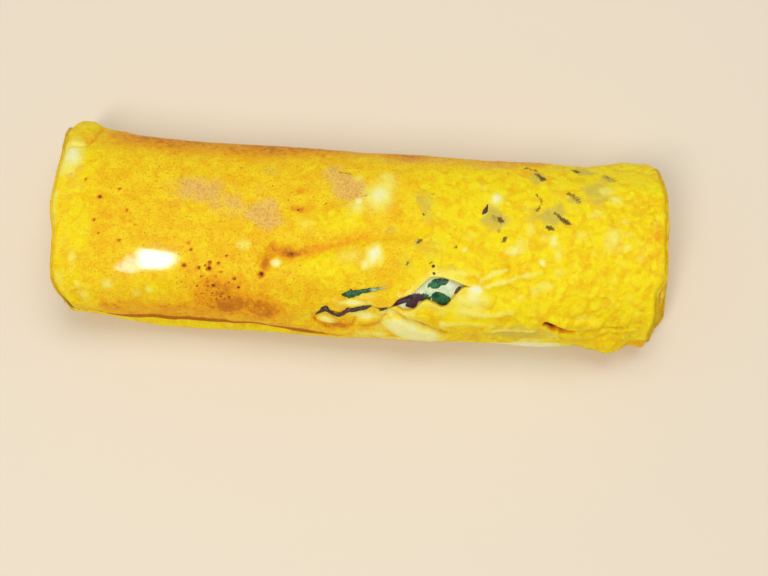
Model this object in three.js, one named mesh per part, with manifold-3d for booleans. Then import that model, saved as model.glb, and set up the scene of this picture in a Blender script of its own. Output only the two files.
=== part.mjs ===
// A rolled egg omelette with a sheet of dried laver (a dark seaweed) rolled into it, in millimetres, +Z up.
//
// The thin egg sheet is wound round itself with the laver between its turns, pressed into a low oval and
// left lying on its flattened underside. X runs along the roll. The front, -Y, has the sheet's free edge low
// down and, on its upper shoulder, a tear through the outer turn that bares the laver. The origin is the
// centre of the underside.

import * as THREE from "three";
import { mergeVertices } from "three/addons/utils/BufferGeometryUtils.js";
import Module from "manifold-3d";

// Driving dimensions of the roll. It is widest low down, where it has sagged.
const ROLL_LENGTH = 210;
const ROLL_WIDTH = 64;
const ROLL_HEIGHT = 36;
const WIDEST_HEIGHT = 12;

// The egg sheet: its thickness, how thin it runs out at the free edge, and over what share of a turn.
const EGG_THICKNESS = 4.4;
const LIP_THICKNESS = 2.4;
const LIP_TAPER_TURNS = 0.14;

// The laver, and the gap that keeps it clear of the egg on each side.
const LAVER_THICKNESS = 0.6;
const CLEARANCE = 0.5;
const LAVER_TURNS = 2.3;
const LAVER_END_INSET = 1;
const SLOT = LAVER_THICKNESS + 2 * CLEARANCE;

// The free edge lies this far below the widest height, and the winding climbs over the top from there.
const LIP_ANGLE = THREE.MathUtils.degToRad(-4);

// Roundness of the section: 2 is an ellipse, more is boxier. The underside is pressed flat by this much,
// and the turn below the free edge bulges out by the foot.
const TOP_SQUARENESS = 2.3;
const BOTTOM_SQUARENESS = 3;
const PRESSED = 0.8;
const FOOT = { bulge: 2.4, height: 3.5, spread: 4 };

// The ends: corner radius seen from above, radius of the outer rim, and how far each turn steps out.
const CORNER_RADIUS = 15;
const CORNER_DEPTH = 6;
const RIM_RADIUS = 3;
const TURN_STEP = 1.2;

// The outline's slow unevenness along the roll.
const WAVE_HEIGHT = 0.7;
const WAVES = 2.5;

// The tear in the outer turn, as a spindle lying in the surface.
const TEAR = { length: 50, width: 11, depth: 12, x: 11, angle: 33, slant: 10 };

// Two corners of the sheet that stick out: an ear at the back left and a tab at the front right.
const EAR = { length: 17, width: 6, height: 11, x: -94, y: 30.6, z: 17 };
const TAB = { length: 17, width: 14, height: 4.2, x: 86, y: -25, z: 2.2 };
// The front draws in towards the right end, from this far along the roll.
const DRAW_IN = { depth: 4, from: 66, over: 34 };

// Resolution of the winding and along the roll.
const SEGMENTS_PER_TURN = 26;
const STEPS_ALONG = 14;
const END_CROWDING = 0.55;

const EGG_COLOUR = 0xf0c01e;
const LAVER_COLOUR = 0x1c2a1c;

const smooth = (t) => THREE.MathUtils.smoothstep(t, 0, 1);

// Thickness of the egg sheet, by turns from its free edge.
function sheetThickness(turns) {
  return THREE.MathUtils.lerp(LIP_THICKNESS, EGG_THICKNESS, smooth(turns / LIP_TAPER_TURNS));
}

// Depth of the sheet's outer side below the roll's envelope, by turns from the free edge.
function sheetDepth(turns) {
  if (turns <= 1) return (LIP_THICKNESS + SLOT) * turns;
  return sheetDepth(turns - 1) + sheetThickness(turns - 1) + SLOT;
}

// Turns from the free edge to an angle of the section: 0 is the front, a quarter turn is the top.
const turnsTo = (angle) => (angle - LIP_ANGLE) / (2 * Math.PI);

// The envelope allows for the depth that the winding has reached at the front, top, back and underside.
const frontDepth = sheetDepth(turnsTo(0));
const topDepth = sheetDepth(turnsTo(Math.PI / 2));
const backDepth = sheetDepth(turnsTo(Math.PI));
const underDepth = sheetDepth(turnsTo((3 * Math.PI) / 2));
const HALF_WIDTH = (ROLL_WIDTH + frontDepth + backDepth) / 2;
const RISE = ROLL_HEIGHT - WIDEST_HEIGHT + topDepth;
const DROP = WIDEST_HEIGHT + underDepth + PRESSED;

// A point of the section, by turns from the free edge and depth below the envelope.
function sectionPoint(turns, depth) {
  const angle = LIP_ANGLE + 2 * Math.PI * turns;
  const c = Math.cos(angle);
  const s = Math.sin(angle);
  const power = 2 / (s < 0 ? BOTTOM_SQUARENESS : TOP_SQUARENESS);
  const across = Math.sign(c) * Math.abs(c) ** power;
  const up = Math.sign(s) * Math.abs(s) ** power;
  const reach = (s < 0 ? DROP : RISE) - depth;
  const centre = (backDepth - frontDepth) / 2;
  return new THREE.Vector2(centre - (HALF_WIDTH - depth) * across, WIDEST_HEIGHT + reach * up);
}

// Points along one side of the winding, from one count of turns to another.
function winding(from, to, depthAt) {
  const count = Math.round(Math.abs(to - from) * SEGMENTS_PER_TURN);
  return Array.from({ length: count + 1 }, (_, i) => {
    const turns = from + ((to - from) * i) / count;
    return sectionPoint(turns, depthAt(turns));
  });
}

// The egg's section: out along the outer turn, in along the slot's inner wall and back along its outer wall.
function eggSection() {
  const outside = winding(0, 1 + LAVER_TURNS, sheetDepth);
  const slotOuterWall = winding(LAVER_TURNS, 0, (t) => sheetDepth(t) + sheetThickness(t));
  return new THREE.Shape([...outside, ...slotOuterWall]);
}

// The laver's section: a thin strip down the middle of the slot.
function laverSection() {
  const first = 1 / SEGMENTS_PER_TURN;
  const last = LAVER_TURNS - first;
  const outer = (t) => sheetDepth(t) + sheetThickness(t) + CLEARANCE;
  const outerSide = winding(first, last, outer);
  const innerSide = winding(last, first, (t) => outer(t) + LAVER_THICKNESS);
  return new THREE.Shape([...outerSide, ...innerSide]);
}

// How far the end face lies in from the full length at a point of the section.
function endInset(y, z) {
  const reach = Math.max(0, Math.abs(y) - (ROLL_WIDTH / 2 - CORNER_RADIUS)) / CORNER_RADIUS;
  const corner = CORNER_DEPTH * (1 - Math.sqrt(Math.max(0, 1 - Math.min(1, reach) ** 2)));
  const middle = ROLL_HEIGHT / 2;
  const towardsSkin = Math.hypot(y / (ROLL_WIDTH / 2), (z - middle) / middle);
  const rim = RIM_RADIUS * smooth((towardsSkin - 0.8) / 0.35);
  const step = TURN_STEP * Math.sin(towardsSkin * 9);
  return Math.max(0, corner + rim + step);
}

// Carries a straight extrusion to the roll's real form: rounded ends, slow waves and a flat underside.
function formed(section, endGap) {
  const geometry = new THREE.ExtrudeGeometry(section, { depth: 2, steps: STEPS_ALONG, bevelEnabled: false });
  const position = geometry.getAttribute("position");
  for (let i = 0; i < position.count; i++) {
    const y = position.getX(i);
    const z = position.getY(i);
    const along = position.getZ(i) - 1;
    const crowded = Math.sin((along * Math.PI) / 2) * END_CROWDING + along * (1 - END_CROWDING);
    const x = crowded * (ROLL_LENGTH / 2 - endGap - endInset(y, z));
    const wave = (WAVE_HEIGHT * Math.sin((x / ROLL_LENGTH) * 2 * Math.PI * WAVES)) / ROLL_HEIGHT;
    const inFront = smooth(-y / (ROLL_WIDTH / 4));
    const foot = FOOT.bulge * Math.exp(-(((z - FOOT.height) / FOOT.spread) ** 2));
    const drawnIn = DRAW_IN.depth * smooth((x - DRAW_IN.from) / DRAW_IN.over);
    position.setXYZ(i, x, y * (1 + wave / 2) + (drawnIn - foot) * inFront, Math.max(z * (1 + wave), 0));
  }
  return geometry;
}

// An ellipsoid of three full sizes.
function lobe({ length, width, height }) {
  return new THREE.SphereGeometry(0.5, 20, 12).scale(length, width, height);
}

// The spindle that cuts the tear, laid in the surface of the upper front shoulder.
function tearCutter() {
  const at = sectionPoint(turnsTo(THREE.MathUtils.degToRad(TEAR.angle)), 0);
  const shoulder = Math.PI / 2 - THREE.MathUtils.degToRad(TEAR.angle);
  return lobe({ length: TEAR.length, width: TEAR.width, height: TEAR.depth })
    .rotateZ(THREE.MathUtils.degToRad(TEAR.slant))
    .rotateX(shoulder)
    .translate(TEAR.x, at.x, at.y);
}

const wasm = await Module();
wasm.setup();

function toSolid(geometry) {
  const bare = geometry.clone();
  bare.deleteAttribute("normal");
  bare.deleteAttribute("uv");
  const merged = mergeVertices(bare, 1e-4);
  return new wasm.Manifold(
    new wasm.Mesh({
      numProp: 3,
      vertProperties: new Float32Array(merged.getAttribute("position").array),
      triVerts: new Uint32Array(merged.index.array),
    }),
  );
}

function toGeometry(solid) {
  const mesh = solid.getMesh();
  const geometry = new THREE.BufferGeometry();
  geometry.setAttribute("position", new THREE.BufferAttribute(mesh.vertProperties, 3));
  geometry.setIndex(new THREE.BufferAttribute(mesh.triVerts, 1));
  geometry.computeVertexNormals();
  return geometry;
}

function eggRoll() {
  const roll = toSolid(formed(eggSection(), 0));
  const ear = toSolid(lobe(EAR).translate(EAR.x, EAR.y, EAR.z));
  const tab = toSolid(lobe(TAB).translate(TAB.x, TAB.y, TAB.z));
  return toGeometry(roll.add(ear).add(tab).subtract(toSolid(tearCutter())));
}

const material = (color, roughness) => new THREE.MeshStandardMaterial({ color, roughness, metalness: 0 });

const egg = new THREE.Mesh(eggRoll(), material(EGG_COLOUR, 0.45));
egg.name = "egg_roll";

const laver = new THREE.Mesh(formed(laverSection(), LAVER_END_INSET), material(LAVER_COLOUR, 0.3));
laver.name = "laver_sheet";

// Both pieces move together, to bring the centre of the underside to the origin.
egg.geometry.computeBoundingBox();
const middle = egg.geometry.boundingBox.getCenter(new THREE.Vector3());
const floor = egg.geometry.boundingBox.min.z;
egg.geometry.translate(-middle.x, -middle.y, -floor);
laver.geometry.translate(-middle.x, -middle.y, -floor);

const omelette = new THREE.Group();
omelette.add(egg, laver);

export default omelette;
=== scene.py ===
"""A rolled egg omelette with laver between its turns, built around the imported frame.

The egg sheet's skin is a fine grid laid over the same spiral as the frame's solid. Places on it are given
in millimetres: x along the roll, and girth round it, which is 0 on the crown and grows towards the front.
"""

import math

import bmesh
import bpy
import numpy as np
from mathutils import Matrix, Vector


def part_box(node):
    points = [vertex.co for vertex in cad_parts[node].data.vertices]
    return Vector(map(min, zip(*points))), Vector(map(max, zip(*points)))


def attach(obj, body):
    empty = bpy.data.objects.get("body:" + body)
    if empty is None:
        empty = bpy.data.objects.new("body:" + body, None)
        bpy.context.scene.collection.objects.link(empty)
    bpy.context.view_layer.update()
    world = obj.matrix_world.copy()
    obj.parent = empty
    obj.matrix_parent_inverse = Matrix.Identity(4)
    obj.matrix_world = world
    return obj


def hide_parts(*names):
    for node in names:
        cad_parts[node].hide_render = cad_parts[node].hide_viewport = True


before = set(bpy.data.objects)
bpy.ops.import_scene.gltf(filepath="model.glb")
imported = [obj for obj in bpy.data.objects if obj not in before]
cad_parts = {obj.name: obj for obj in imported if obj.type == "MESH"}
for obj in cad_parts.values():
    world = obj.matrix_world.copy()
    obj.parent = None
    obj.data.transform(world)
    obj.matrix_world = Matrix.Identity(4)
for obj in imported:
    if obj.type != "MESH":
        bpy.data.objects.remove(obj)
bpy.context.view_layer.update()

MM = 0.001
EGG_LOW, EGG_HIGH = (np.array(corner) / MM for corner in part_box("egg_roll"))

# ---------------- the roll's section, as in the frame
LENGTH = EGG_HIGH[0] - EGG_LOW[0]
WIDTH = 64.0
HEIGHT = 36.0
WIDEST_HEIGHT = 12.0
LAVER_THICKNESS = 0.6
CLEARANCE = 0.1
SLOT = LAVER_THICKNESS + 2 * CLEARANCE
EGG_THICKNESS = 5.2
LIP_THICKNESS = 3.2
LIP_TAPER_TURNS = 0.14
LAVER_TURNS = 2.3
LIP_ANGLE = math.radians(-4)
TOP_SQUARENESS = 2.3
BOTTOM_SQUARENESS = 3.0
PRESSED = 0.8
CENTRE_SHIFT = -0.5


def smooth(t):
    """Eases from 0 to 1 as t goes from 0 to 1."""
    t = np.clip(t, 0, 1)
    return t * t * (3 - 2 * t)


def ramp(value, start, length):
    """Eases from 0 at the start to 1 a length beyond it. A negative length runs the other way."""
    return smooth((value - start) / length)


def sheet_thickness(turns):
    """Thickness of the egg sheet, which thins out to its free edge."""
    return LIP_THICKNESS + (EGG_THICKNESS - LIP_THICKNESS) * smooth(turns / LIP_TAPER_TURNS)


def sheet_depth(turns):
    """Depth of the sheet's outer side below the envelope, by turns from the free edge."""
    turns = np.maximum(np.asarray(turns, float), 0)
    lap = np.floor(turns)
    part = turns - lap
    depth = (LIP_THICKNESS + SLOT) * part
    for k in range(3):
        depth = depth + np.where(lap > k, sheet_thickness(part + k) + SLOT, 0)
    return depth


def turns_to(angle):
    return (angle - LIP_ANGLE) / (2 * math.pi)


FRONT_DEPTH, TOP_DEPTH, BACK_DEPTH, UNDER_DEPTH = (
    float(sheet_depth(turns_to(k * math.pi / 2))) for k in range(4)
)
HALF_WIDTH = (WIDTH + FRONT_DEPTH + BACK_DEPTH) / 2
RISE = HEIGHT - WIDEST_HEIGHT + TOP_DEPTH
DROP = WIDEST_HEIGHT + UNDER_DEPTH + PRESSED


def section_point(turns, depth):
    """y and z of the section, by turns from the free edge and depth below the envelope."""
    angle = LIP_ANGLE + 2 * math.pi * turns
    c, s = np.cos(angle), np.sin(angle)
    power = 2 / np.where(s < 0, BOTTOM_SQUARENESS, TOP_SQUARENESS)
    across = np.sign(c) * np.abs(c) ** power
    up = np.sign(s) * np.abs(s) ** power
    reach = np.where(s < 0, DROP, RISE) - depth
    centre = (BACK_DEPTH - FRONT_DEPTH) / 2 + CENTRE_SHIFT
    return centre - (HALF_WIDTH - depth) * across, WIDEST_HEIGHT + reach * up


# Girth along the outer skin, from the free edge over the crown and round.
_turns = np.linspace(0, 1.2, 4801)
_y, _z = section_point(_turns, sheet_depth(_turns))
_arc = np.concatenate([[0], np.cumsum(np.hypot(np.diff(_y), np.diff(_z)))])
_girth = _arc[np.argmax(_z)] - _arc
LIP_GIRTH = _girth[0]


def turns_of(girth):
    return np.interp(-np.asarray(girth, float), -_girth, _turns)


def girth_of(turns):
    return np.interp(turns, _turns, _girth)


# ---------------- noise and marks on the skin
class Noise:
    """Smooth noise from -1 to 1 over two coordinates in millimetres."""

    def __init__(self, seed):
        self.table = np.random.default_rng(seed).uniform(-1, 1, (128, 128))

    def layer(self, x, y, size):
        u, v = x / size + 40, y / size + 40
        i, j = np.floor(u).astype(int), np.floor(v).astype(int)
        a, b = smooth(u - i), smooth(v - j)
        t = self.table
        low = t[i % 128, j % 128] * (1 - a) + t[(i + 1) % 128, j % 128] * a
        high = t[i % 128, (j + 1) % 128] * (1 - a) + t[(i + 1) % 128, (j + 1) % 128] * a
        return low * (1 - b) + high * b

    def __call__(self, x, y, size, octaves=1):
        total = sum(self.layer(x + 17 * k, y - 31 * k, size / 2**k) / 2**k for k in range(octaves))
        return total / (2 - 2 ** (1 - octaves))


lumps = Noise(11)
ripples = Noise(23)
ragged = Noise(37)


def distance_to(points, x, g):
    """Distance from each place to a line through the given (x, girth) points."""
    best = np.full(np.shape(x), 1e9)
    points = [tuple(p) for p in points]
    ends = points[1:] or points
    for (x0, g0), (x1, g1) in zip(points, ends):
        dx, dg = x1 - x0, g1 - g0
        span = max(dx * dx + dg * dg, 1e-9)
        t = np.clip(((x - x0) * dx + (g - g0) * dg) / span, 0, 1)
        best = np.minimum(best, np.hypot(x - x0 - t * dx, g - g0 - t * dg))
    return best


def mark(x, g, points, width, rag=0.0, hard=0.0):
    """A soft mark of that half width about a line: 1 on the line, 0 beyond the width."""
    d = distance_to(points, x, g)
    if rag:
        d = d + rag * width * ragged(x, g, max(width * 0.9, 2.0), 3)
    return smooth((1 - d / width) / (1 - hard))


def blot(x, g, centre, half_length, half_width, slant=0.0, rag=0.25, hard=0.0):
    """A soft oval mark."""
    c, s = math.cos(math.radians(slant)), math.sin(math.radians(slant))
    dx, dg = x - centre[0], g - centre[1]
    a = (dx * c - dg * s) / half_length
    b = (dx * s + dg * c) / half_width
    d = np.hypot(a, b)
    if rag:
        d = d + rag * ragged(x, g, max(min(half_length, half_width) * 0.9, 1.6), 3)
    return smooth((1 - d) / (1 - hard))


# ---------------- the tear and the free edge
# The tear's two lips as (x, girth of the upper lip, girth of the lower lip).
TEAR_LIPS = [
    (-12.8, 33.5, 33.5), (-10, 30.4, 31.4), (-8, 31.4, 32.5), (-5, 32.2, 33.3), (-2.5, 30.4, 31.6),
    (0.5, 29.7, 30.8), (5, 28.6, 29.4), (6.5, 29.4, 29.6), (8.5, 29.4, 30.7), (10.5, 29.1, 29.9),
    (12, 28.9, 29.5), (14, 26, 28.9), (16, 25, 30.2), (18.5, 23.6, 29.9), (20, 22.2, 29.3),
    (21.5, 20.4, 26.9), (24, 17.6, 25.6), (26, 17.2, 26.3), (28.5, 17.1, 27.7), (30.5, 17.5, 27.3),
    (32.5, 18, 23.8), (34, 18.6, 21.4), (36, 19.3, 20.1), (38, 19.8, 19.8),
]
TEAR_ROW = 26.0
TEAR_PULL = 15.0
TEAR_EASE = 22.0
TEAR_THINNING = 0.78
tear_x, tear_up, tear_down = (np.array(column, float) for column in zip(*TEAR_LIPS))


def tear_middle(x):
    """Girth of the tear's middle line, eased back to its row beyond its ends."""
    middle = np.interp(x, tear_x, (tear_up + tear_down) / 2)
    before = ramp(x, tear_x[0], -32)
    after = ramp(x, tear_x[-1], 32)
    return middle + (TEAR_ROW - middle) * np.maximum(before, after)


def tear_half_width(x):
    half = np.interp(x, tear_x, (tear_down - tear_up) / 2)
    inside = (x > tear_x[0]) & (x < tear_x[-1])
    jag = 0.22 * ragged(x, x * 0, 1.9, 2) * smooth(half / 1.5)
    return np.where(inside, np.maximum(half + jag, 0), 0)


# How far up the front the free edge lies, as (x, rise above its row).
LIP_RISE = [(-110, 3), (-84, 3.2), (-55, 4.4), (-30, 4.6), (-14, 2.4), (0, 1), (20, 0.5), (44, 1.5),
            (56, 3.6), (68, 4.4), (75, 3), (80, 0), (88, -0.5), (92, 1.5), (96, 4), (110, 5)]


def lip_rise(x):
    rise = np.interp(x, *zip(*LIP_RISE))
    return rise + 0.5 * ragged(x, x * 0 + 9, 7, 3)


def warped_girth(x, g, side=0, open_tear=True):
    """Carries a nominal girth to the real one: the free edge's line, the tear's slant and its opening.
    side is -1 on the tear's upper lip, 1 on its lower lip and 0 elsewhere."""
    away = np.abs(g - TEAR_ROW)
    slant = (tear_middle(x) - TEAR_ROW) * smooth(1 - away / TEAR_EASE)
    direction = side if side else np.sign(g - TEAR_ROW)
    opening = direction * tear_half_width(x) * np.clip(1 - away / TEAR_PULL, 0, 1) ** 2 * open_tear
    edge = -lip_rise(x) * ramp(g, LIP_GIRTH - 14, 14)
    return g + slant + opening + edge


def warped_turns(x, turns, side=0, open_tear=True):
    g = girth_of(np.minimum(turns, 1))
    shift = turns_of(warped_girth(x, g, side, open_tear)) - turns_of(g)
    return turns + np.where(turns < 0.5, shift, 0)


def near_tear(x, turns, reach=9.0):
    """1 inside the tear's opening, fading over the reach beyond its lips, by real turns."""
    away = np.abs(girth_of(np.minimum(turns, 1)) - tear_middle(x)) - tear_half_width(x)
    along = ramp(x, tear_x[0], 3) * ramp(x, tear_x[-1], -3)
    return along * np.clip(1 - np.maximum(away, 0) / reach, 0, 1) ** 2 * (turns < 0.5)


# ---------------- the roll's real form
FOOT_BULGE, FOOT_HEIGHT, FOOT_SPREAD = 2.4, 4.5, 4.5
DRAW_DEPTH, DRAW_FROM, DRAW_OVER = 4.0, 66.0, 34.0
# How far the roll swells out low at the front and at the back, as (x, swell).
FRONT_SWELL = [(-105, 0), (-95, 0.6), (-87, 1.5), (-78, 2.8), (-60, 3.4), (-30, 3.8), (-18, 3.8),
               (-5, 3.4), (9, 2.2), (20, 2.4), (30, 2), (50, 2), (63, 2.4), (76, 1.2), (82, 3.2),
               (86, 5), (90, 4.8), (94, 2.6), (99, 3.8), (105, 3.8)]
BACK_SWELL = [(-105, 5), (-102, 5.8), (-98, 5.4), (-95, 3.6), (-90, 2.4), (-80, 1.2), (-60, 1.4),
              (-46, 0.8), (0, 0.5), (50, 0.4), (77, 0.8), (83, 2.2), (90, 3.2), (97, 3.6), (105, 3.6)]
# The front and the back corner of each end, as (radius, depth).
LEFT_CORNERS = (15.0, 10.0), (9.0, 1.5)
RIGHT_CORNERS = (8.0, 2.6), (19.0, 9.0)
END_INSET = 1.6
END_TAPER_POWER = 10
SKIN_RIM, INNER_RIM = 2.6, 1.0
# How much of the skin the free edge loses, as (x, depth), and over what girth.
EDGE_BEVEL = [(-110, 2.2), (-20, 2.2), (10, 1.6), (60, 1.8), (76, 1.8), (84, 2.2), (110, 1.6)]
EDGE_BEVEL_GIRTH = 8


def corner_inset(y, corners):
    """How far a rounded corner of an end lies in: the front one at y below 0, else the back one."""
    (front_radius, front_depth), (back_radius, back_depth) = corners
    radius = np.where(y < 0, front_radius, back_radius)
    depth = np.where(y < 0, front_depth, back_depth)
    reach = np.clip((np.abs(y) - (WIDTH / 2 - radius)) / radius, 0, 0.999)
    return depth * (1 - np.sqrt(1 - reach**2))


def end_inset(y, z, turns, right):
    """How far the end lies in from the full length, at a point of the section."""
    lean = 2.2 * ramp(z, 20, 16) + 1.5 * ramp(z, 8, -8)
    layer = 0.39 * np.sin(2.4 * np.floor(turns) + 4.1)
    sway = ragged(y + (200 if right else -200), z, 14, 3)
    inset = END_INSET + corner_inset(y, RIGHT_CORNERS if right else LEFT_CORNERS) + lean + layer + sway
    if right:
        inset = inset + 3.2 * ramp(turns, 1.05, -0.05) * ramp(y, -16, -7)
    else:
        inset = inset - 2.1 * ramp(y, -12, 12)
    return np.maximum(inset, -0.6)


def placed(x_share, turns, depth):
    """A point of the roll: share of the half length (-1 to 1), turns from the free edge and depth."""
    y, z = section_point(turns, depth)
    inset = np.where(x_share > 0, end_inset(y, z, turns, True), end_inset(y, z, turns, False))
    x = x_share * (LENGTH / 2) - np.sign(x_share) * inset * np.abs(x_share) ** END_TAPER_POWER
    foot = FOOT_BULGE * np.exp(-(((z - FOOT_HEIGHT) / FOOT_SPREAD) ** 2))
    drawn = DRAW_DEPTH * ramp(x, DRAW_FROM, DRAW_OVER)
    low = ramp(z, 18.5, -9) * (0.55 + 0.45 * smooth(z / 4))
    forward = foot - drawn + np.interp(x, *zip(*FRONT_SWELL)) * low
    wide = ramp(z, 31, -13) * (0.5 + 0.5 * smooth(z / 6))
    backward = np.interp(x, *zip(*BACK_SWELL)) * wide
    y = y - forward * smooth(-4 * y / WIDTH) + backward * smooth(4 * y / WIDTH)
    height_wave = 0.012 * np.sin(x / 15.0 + 1.0) + 0.01 * np.sin(x / 7.3)
    return np.stack([x, y, np.maximum(z * (1 + height_wave), 0)], -1)


def rim(x_share, radius):
    """Depth that a rounded rim takes off near an end."""
    left = np.clip(radius - (1 - np.abs(x_share)) * LENGTH / 2, 0, radius)
    return radius - np.sqrt(np.maximum(radius**2 - left**2, 0))


def bevel(x, turns):
    """Depth that the skin loses towards the free edge, where the sheet thins out."""
    away = LIP_GIRTH - girth_of(np.minimum(turns, 1))
    return np.interp(x, *zip(*EDGE_BEVEL)) * np.clip(1 - away / EDGE_BEVEL_GIRTH, 0, 1) ** 1.7


def sheet_left(x, turns):
    """The sheet's thickness, thinned towards the tear."""
    return sheet_thickness(turns) * (1 - TEAR_THINNING * near_tear(x, turns))


# ---------------- mesh assembly
# The marks that each vertex carries: the egg's, and the laver's in the same places.
MARK_COUNT = 9
# The first of these marks is browning together with painted shade; the seventh is partly painted shade.
BROWNING_AND_SHADE, LEMON, PALE, BEIGE, LAVER, PITTED, OLIVE_AND_SHADE, WET, INNER = range(MARK_COUNT)
GREEN, FADED, FILM, WHITE = range(4)
# Distances of the columns from an end, across its rounded rim.
RIM_COLUMNS = np.array([0, 0.12, 0.4, 0.8, 1.3, 1.9, 2.6])
RIM_END = 3.4


def marks_of(shape, values):
    """Marks over a grid of that shape, from the value of each mark."""
    marks = np.zeros(shape + (MARK_COUNT,))
    for mark_number, value in values.items():
        marks[..., mark_number] = value
    return marks


class Pieces:
    """Vertices and faces of one mesh, put together from grids that are zipped at their borders."""

    def __init__(self):
        self.points, self.marks, self.faces, self.count = [], [], [], 0

    def add(self, points, marks):
        shape = points.shape[:-1]
        flat = points.reshape(-1, 3)
        self.points.append(flat)
        self.marks.append(marks.reshape(-1, MARK_COUNT))
        ids = np.arange(self.count, self.count + len(flat)).reshape(shape)
        self.count += len(flat)
        return ids

    def quads(self, ids, flip=False):
        a, b = ids[:-1, :-1].ravel(), ids[:-1, 1:].ravel()
        c, d = ids[1:, 1:].ravel(), ids[1:, :-1].ravel()
        loop = (a, d, c, b) if flip else (a, b, c, d)
        self.faces.extend(np.stack(loop, 1).tolist())

    def zip(self, ids_a, keys_a, ids_b, keys_b, flip=False):
        """Joins two lines of vertices whose keys both rise."""
        i = j = 0
        while i < len(ids_a) - 1 or j < len(ids_b) - 1:
            step_a = j == len(ids_b) - 1 or (i < len(ids_a) - 1 and keys_a[i + 1] <= keys_b[j + 1])
            if step_a:
                face = [ids_a[i], ids_a[i + 1], ids_b[j]]
                i += 1
            else:
                face = [ids_a[i], ids_b[j + 1], ids_b[j]]
                j += 1
            if len(set(face)) == 3:
                self.faces.append(face[::-1] if flip else face)

    def build(self, name):
        points = np.concatenate(self.points) * MM
        mesh = bpy.data.meshes.new(name)
        mesh.from_pydata(points.tolist(), [], [[int(v) for v in face] for face in self.faces])
        marks = np.concatenate(self.marks)
        for k, label in enumerate(("tone_a", "tone_b")):
            layer = mesh.attributes.new(label, "FLOAT_COLOR", "POINT")
            layer.data.foreach_set("color", marks[:, 4 * k:4 * k + 4].astype(np.float32).ravel())
        inner = mesh.attributes.new("inner", "FLOAT", "POINT")
        inner.data.foreach_set("value", marks[:, INNER].astype(np.float32))
        mesh.polygons.foreach_set("use_smooth", [True] * len(mesh.polygons))
        mesh.update()
        piece = bpy.data.objects.new(name, mesh)
        bpy.context.scene.collection.objects.link(piece)
        return piece


def spread(low, high, step):
    """Evenly spaced values from low to high, about a step apart."""
    return np.linspace(low, high, max(2, int(round(abs(high - low) / step)) + 1))


def column_shares(step, tear_step):
    """Shares of the half length for the columns: closer together at the rims and by the tear."""
    half = LENGTH / 2
    parts = [
        RIM_COLUMNS - half,
        spread(RIM_END - half, tear_x[0], step),
        spread(tear_x[0], tear_x[-1], tear_step)[1:],
        spread(tear_x[-1], half - RIM_END, step)[1:],
        (half - RIM_COLUMNS)[::-1],
    ]
    return np.concatenate(parts) / half


FINE = 0.64
COARSE = 3.0
COARSE_AT_TEAR = 1.3
TEAR_TURN = float(turns_of(TEAR_ROW))
CORE_START = LAVER_TURNS
CORE_END = LAVER_TURNS + 1
SKIN_END = 1.09
fine = column_shares(FINE, FINE)
coarse = column_shares(COARSE, COARSE_AT_TEAR)
x_fine, x_coarse = fine * LENGTH / 2, coarse * LENGTH / 2


# ---------------- the skin's relief and colouring
CREASE = [(-30.5, 17), (-28.5, 11.5), (-22, 12.8), (-14, 10.8), (-6, 8.3), (4, 4.5), (20, 1.5)]
# Broad swellings and hollows, as (line, half width, rise, raggedness).
SWELLINGS = [
    (CREASE, 4.5, -1.3, 0.15),
    ([(-22, 21), (-6, 17), (10, 12)], 9, 1, 0),
    ([(-26, 4), (-8, 0), (8, -6)], 9, 0.7, 0),
    ([(-86, 20.5), (-54, 15.5)], 7.5, -0.24, 0),
    ([(-10, 36.4), (-4, 37), (4, 36)], 3.4, 1.1, 0.2),
    ([(17, 31.5), (24, 31.5)], 3, 0.9, 0.2),
    ([(62, 28.6), (71, 31.4), (82, 32.6)], 2.8, 1.2, 0.2),
]
# Pale ridges that fan out from the tear, as (line, half width, rise).
RIDGES = [
    ([(41, 17.4), (45, 15.2), (49, 13.4)], 1.9, 0.8), ([(43, 19.2), (52, 16.1), (60, 13.7)], 1.6, 0.9),
    ([(34, 24), (38, 24.5), (43, 23.5)], 2.4, 0.6), ([(36, 28), (43.5, 29.3), (52, 27.5)], 1.9, 0.5),
    ([(31, 34.2), (37, 32.7), (46, 33.5)], 1.5, 0.5), ([(44, 36.5), (51, 35.2), (60, 35.5)], 1.4, 0.4),
]
# Creases, as (line, half width, depth, painted shade along the crease).
VALLEYS = [
    ([(-106, -19), (-102, -24), (-97, -24), (-95, -29), (-94, -36)], 1.7, 1.3, 0.7),
    ([(-14, 34.6), (-13.4, 38), (-8, 41.4)], 1, 0.9, 1.1), ([(0, 34.6), (-1, 39.5)], 0.9, 0.8, 0.9),
    ([(11, 31.5), (9, 35.4), (7.6, 38.4)], 1.1, 1.3, 1.2),
    ([(11.5, 31), (16, 32.2), (19.5, 34.6), (25.5, 37), (31, 39.4)], 1.2, 1.6, 1.2),
    ([(27.5, 14.6), (33, 13.2)], 1.2, 0.5, 0.3),
    ([(33, 16.8), (38, 17.2), (43.5, 18.2)], 0.8, 0.5, 0.3), ([(64.4, 32.2), (67.6, 34)], 2, 2.2, 2.6),
    ([(67.6, 34), (69.8, 35.2), (75, 36)], 1.6, 1.8, 1.2),
    ([(77, 38), (81, 36), (86, 35.2), (94, 36.4)], 1.3, 1, 0.6),
    ([(82, 40.5), (87, 38), (91, 38.6)], 1.1, 0.6, 0.6), ([(84, -12.3), (86, -9.5)], 1, 0.4, 0.4),
]
# Bands of browning and painted shade, at the back where the roll curves away and low at the front above the
# free edge, as (line, half width, strength, raggedness).
BROWNING_AND_SHADE_BANDS = [
    ([(-88, -32), (-45, -32), (-8, -33)], 16, 1.0, 0.2),
    ([(4, -36), (30, -35), (58, -36)], 15, 0.75, 0.25),
    ([(-90, 38), (-60, 38), (-24, 38)], 9, 0.30, 0.5),
]
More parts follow.
